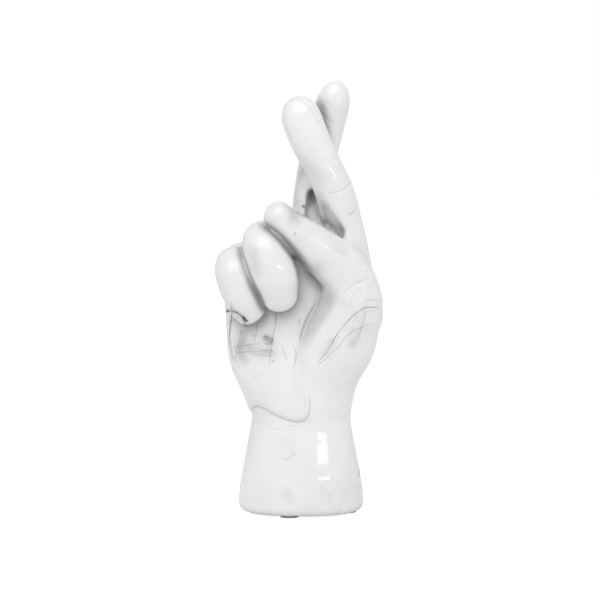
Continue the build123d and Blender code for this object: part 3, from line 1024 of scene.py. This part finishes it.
def glaze_material():
    """White glaze over grey marble veins, with painted shade in its creases, its hollows and some of its
    clouds, under a hard clear coat.
    """
    material, nodes, links, output = new_material("marble_glaze")
    surface = nodes.new("ShaderNodeBsdfPrincipled")
    links.new(surface.outputs[0], output.inputs[0])
    place = nodes.new("ShaderNodeTexCoord").outputs["Object"]
    drawn, wild = drawn_vein_group(), wild_vein_group()
    thick, fine = (
        use_group(nodes, links, drawn, Place=place,
                  Across=mark(nodes, f"{kind}_across"), Tone=mark(nodes, f"{kind}_tone"))
        for kind in ("vein", "fine")
    )
    turned = ramp(nodes, links, mark(nodes, "facing"), 0.1, 0.45, 0.42, 0.06)
    stray = use_group(nodes, links, wild, Place=place, Amount=turned)
    patchy = ramp(nodes, links, noise(nodes, links, place, 90.0, 3.0), 0.3, 0.7, 0.4, 1.25)
    cloud_and_shade = calc(nodes, links, "MULTIPLY", mark(nodes, "cloud_and_shade"), patchy)
    across = mark(nodes, "crease_across")
    away = calc(nodes, links, "ABSOLUTE", across)
    # Painted shade along the creases
    line = ramp(nodes, links, away, 0.0, 1.5, 1.0, 0.0)
    painted_crease_darkness = calc(nodes, links, "MULTIPLY", line, mark(nodes, "crease_shade_and_depth"))
    painted_crease_darkness = calc(nodes, links, "MULTIPLY", painted_crease_darkness, painted_crease_shade)
    tint = ramp(nodes, links, noise(nodes, links, place, 30.0, 5.0), 0.35, 0.75, 0.0, 0.075)
    # Painted shade in the hollows, taking up to half of the glaze's white
    painted_hollow_shade = ramp(nodes, links, mark(nodes, "painted_hollow_shade"), 0.08, 0.85, 0.0, 0.5)
    keep = glaze_white
    for dark in (thick, fine, stray, cloud_and_shade, mark(nodes, "speck"), painted_crease_darkness, tint, painted_hollow_shade):
        rest = calc(nodes, links, "SUBTRACT", 1.0, dark, clamp=True)
        keep = calc(nodes, links, "MULTIPLY", keep, rest)
    grey(nodes, links, keep, surface.inputs["Base Color"])
    ripple = calc(nodes, links, "MULTIPLY", noise(nodes, links, place, 110.0, 1.0), ripple_relief)
    groove = ramp(nodes, links, away, 0.0, 2.2, 1.0, 0.0)
    groove = calc(nodes, links, "MULTIPLY", groove, mark(nodes, "crease_shade_and_depth"))
    groove = calc(nodes, links, "MULTIPLY", groove, crease_relief)
    bent = relief(nodes, links, calc(nodes, links, "SUBTRACT", ripple, groove))
    links.new(bent, surface.inputs["Normal"])
    links.new(bent, surface.inputs["Coat Normal"])
    surface.inputs["Roughness"].default_value = 0.4
    surface.inputs["Coat Weight"].default_value = 1.0
    surface.inputs["Coat Roughness"].default_value = 0.04
    return material


def pad_material():
    """Grey pressed felt: fine fibres that show as tone and as relief."""
    material, nodes, links, output = new_material("pad_felt")
    surface = nodes.new("ShaderNodeBsdfPrincipled")
    links.new(surface.outputs[0], output.inputs[0])
    place = nodes.new("ShaderNodeTexCoord").outputs["Object"]
    fibres = noise(nodes, links, place, 900.0, 4.0, 0.6)
    tone = ramp(nodes, links, fibres, 0.3, 0.7, 0.36, 0.52)
    grey(nodes, links, tone, surface.inputs["Base Color"])
    bent = relief(nodes, links, calc(nodes, links, "MULTIPLY", fibres, felt_relief))
    links.new(bent, surface.inputs["Normal"])
    surface.inputs["Roughness"].default_value = 0.85
    return material


# Studio

def area_light(name, place, width, height, power):
    """A rectangular lamp that faces the hand."""
    lamp = bpy.data.lights.new(name, "AREA")
    lamp.shape = "RECTANGLE"
    lamp.size, lamp.size_y, lamp.energy = width, height, power
    light = bpy.data.objects.new(name, lamp)
    light.location = place
    light.rotation_euler = (Vector(lit_place) - Vector(place)).to_track_quat("-Z", "Y").to_euler()
    bpy.context.scene.collection.objects.link(light)


def studio():
    """A white room, a large lamp above, a small one beside, and the photograph's camera."""
    scene = bpy.context.scene
    scene.view_settings.view_transform = "Standard"
    world = bpy.data.worlds.new("white_room")
    scene.world = world
    world.use_nodes = True
    nodes, links = world.node_tree.nodes, world.node_tree.links
    nodes.clear()
    output = nodes.new("ShaderNodeOutputWorld")
    mix = nodes.new("ShaderNodeMixShader")
    seen, lit = nodes.new("ShaderNodeBackground"), nodes.new("ShaderNodeBackground")
    for room, strength in (seen, 1.0), (lit, room_light):
        room.inputs["Color"].default_value = (1, 1, 1, 1)
        room.inputs["Strength"].default_value = strength
    path = nodes.new("ShaderNodeLightPath")
    rays = path.outputs["Is Camera Ray"], path.outputs["Is Transmission Ray"]
    links.new(calc(nodes, links, "MAXIMUM", *rays), mix.inputs[0])
    links.new(lit.outputs[0], mix.inputs[1])
    links.new(seen.outputs[0], mix.inputs[2])
    links.new(mix.outputs[0], output.inputs[0])

    for name, lamp in lamps.items():
        area_light(name, *lamp)

    camera = bpy.data.cameras.new("camera")
    eye = bpy.data.objects.new("camera", camera)
    scene.collection.objects.link(eye)
    scene.camera = eye
    camera.sensor_width = 36.0
    eye.location = Vector(eye_place) * mm
    target = Vector((eye_side, 0, aim_up)) * mm
    eye.rotation_euler = (target - eye.location).to_track_quat("-Z", "Y").to_euler()
    camera.lens = camera.sensor_width * eye_out / (picture_size * pixel)


def floor():
    """A floor that is white to the camera, keeps the hand's shadow and bounces light."""
    material, nodes, links, output = new_material("white_floor")
    surface = nodes.new("ShaderNodeBsdfPrincipled")
    surface.inputs["Base Color"].default_value = (0.3, 0.3, 0.3, 1)
    surface.inputs["Roughness"].default_value = 0.9
    bounce = nodes.new("ShaderNodeBsdfDiffuse")
    bounce.inputs["Color"].default_value = (0.85, 0.85, 0.85, 1)
    glow = nodes.new("ShaderNodeEmission")
    glow.inputs["Color"].default_value = (1, 1, 1, 1)
    glow.inputs["Strength"].default_value = 0.88
    both = nodes.new("ShaderNodeAddShader")
    mix = nodes.new("ShaderNodeMixShader")
    path = nodes.new("ShaderNodeLightPath")
    links.new(surface.outputs[0], both.inputs[0])
    links.new(glow.outputs[0], both.inputs[1])
    links.new(path.outputs["Is Camera Ray"], mix.inputs[0])
    links.new(bounce.outputs[0], mix.inputs[1])
    links.new(both.outputs[0], mix.inputs[2])
    links.new(mix.outputs[0], output.inputs[0])
    reach = 3000.0
    corners = np.array([(-reach, -reach, 0), (reach, -reach, 0), (reach, reach, 0), (-reach, reach, 0)])
    ground = add_mesh("floor", corners, np.array([(0, 1, 2), (0, 2, 3)]))
    ground.data.materials.append(material)


build_hand(glaze_material())
pad_finish = pad_material()
for name in pad_names:
    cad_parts[name].data.materials.clear()
    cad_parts[name].data.materials.append(pad_finish)
studio()
floor()
